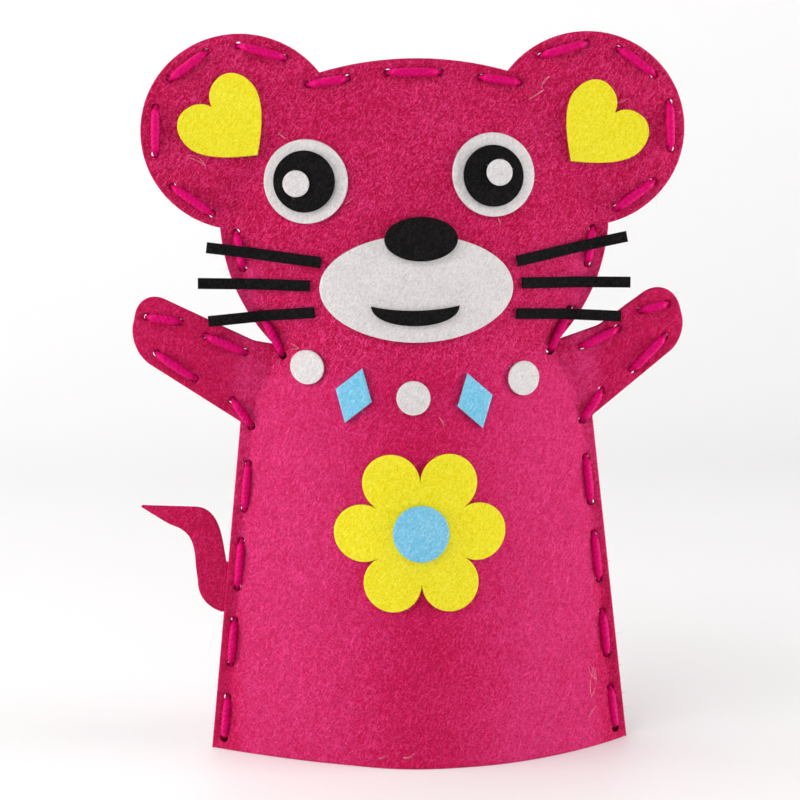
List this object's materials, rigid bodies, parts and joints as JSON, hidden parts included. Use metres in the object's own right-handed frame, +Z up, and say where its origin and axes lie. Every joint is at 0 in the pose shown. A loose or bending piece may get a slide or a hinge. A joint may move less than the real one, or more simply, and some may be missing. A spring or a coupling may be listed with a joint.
{
  "type": "hand puppet",
  "caption": "Felt animal hand puppet sewn from a front and a back panel, with an open hem for the hand, a bending neck, swinging arms and a flapping tail.",
  "frame": {"origin": "on the ground under the middle of the puppet, between the two panels at the open hem", "axes": "+Z up to the ears, -Y the way the face looks, +X to the viewer's right"},
  "size_m": [0.1868, 0.0718, 0.2421],
  "materials": {
    "pink_felt": "matte wool-blend felt",
    "yellow_felt": "matte felt",
    "white_felt": "matte felt",
    "black_felt": "matte felt",
    "blue_felt": "matte felt",
    "yarn": "twisted yarn with a slight sheen"
  },
  "bodies": {
    "torso": {"torso_front": "pink_felt", "torso_back": "pink_felt", "stitching_left_side": "yarn", "stitching_right_side": "yarn", "stitching_left_neck": "yarn", "stitching_right_neck": "yarn", "tail_tab": "pink_felt", "necklace_disc_left": "white_felt", "necklace_disc_middle": "white_felt", "necklace_disc_right": "white_felt", "necklace_diamond_left": "blue_felt", "necklace_diamond_right": "blue_felt", "flower": "yellow_felt", "flower_centre": "blue_felt"},
    "head": {"head_front": "pink_felt", "head_back": "pink_felt", "stitching_head": "yarn", "heart_left": "yellow_felt", "heart_right": "yellow_felt", "eye_left_white": "white_felt", "eye_left_black": "black_felt", "eye_left_glint": "white_felt", "eye_right_white": "white_felt", "eye_right_black": "black_felt", "eye_right_glint": "white_felt", "muzzle": "white_felt", "nose": "black_felt", "mouth": "black_felt", "whisker_left_top": "black_felt", "whisker_left_middle": "black_felt", "whisker_left_low": "black_felt", "whisker_right_top": "black_felt", "whisker_right_middle": "black_felt", "whisker_right_low": "black_felt"},
    "arm_left": {"arm_left_front": "pink_felt", "arm_left_back": "pink_felt", "stitching_left_arm": "yarn"},
    "arm_right": {"arm_right_front": "pink_felt", "arm_right_back": "pink_felt", "stitching_right_arm": "yarn"},
    "tail": {"tail": "pink_felt"}
  },
  "joints": [
    {"name": "head_nod", "type": "hinge", "parent": "torso", "child": "head", "pos_m": [0.00226, 0, 0.1392], "axis": [1, 0, 0], "range_deg": [-12, 12], "stiffness_Nm_per_rad": 0.08, "deforming": ["whisker_left_low", "whisker_right_low"]},
    {"name": "arm_left_swing", "type": "hinge", "parent": "torso", "child": "arm_left", "pos_m": [-0.04614, 0, 0.1392], "axis": [0.4048, 0, 0.9144], "range_deg": [-15, 60], "stiffness_Nm_per_rad": 0.01, "deforming": ["whisker_left_low"]},
    {"name": "arm_right_swing", "type": "hinge", "parent": "torso", "child": "arm_right", "pos_m": [0.05066, 0, 0.1392], "axis": [0.4048, 0, -0.9144], "range_deg": [-15, 60], "stiffness_Nm_per_rad": 0.01, "deforming": ["whisker_right_low"]},
    {"name": "tail_flap", "type": "hinge", "parent": "torso", "child": "tail", "pos_m": [-0.06439, 0, 0.05605], "axis": [0.1056, 0, 0.9944], "range_deg": [-50, 50], "stiffness_Nm_per_rad": 0.001}
  ]
}
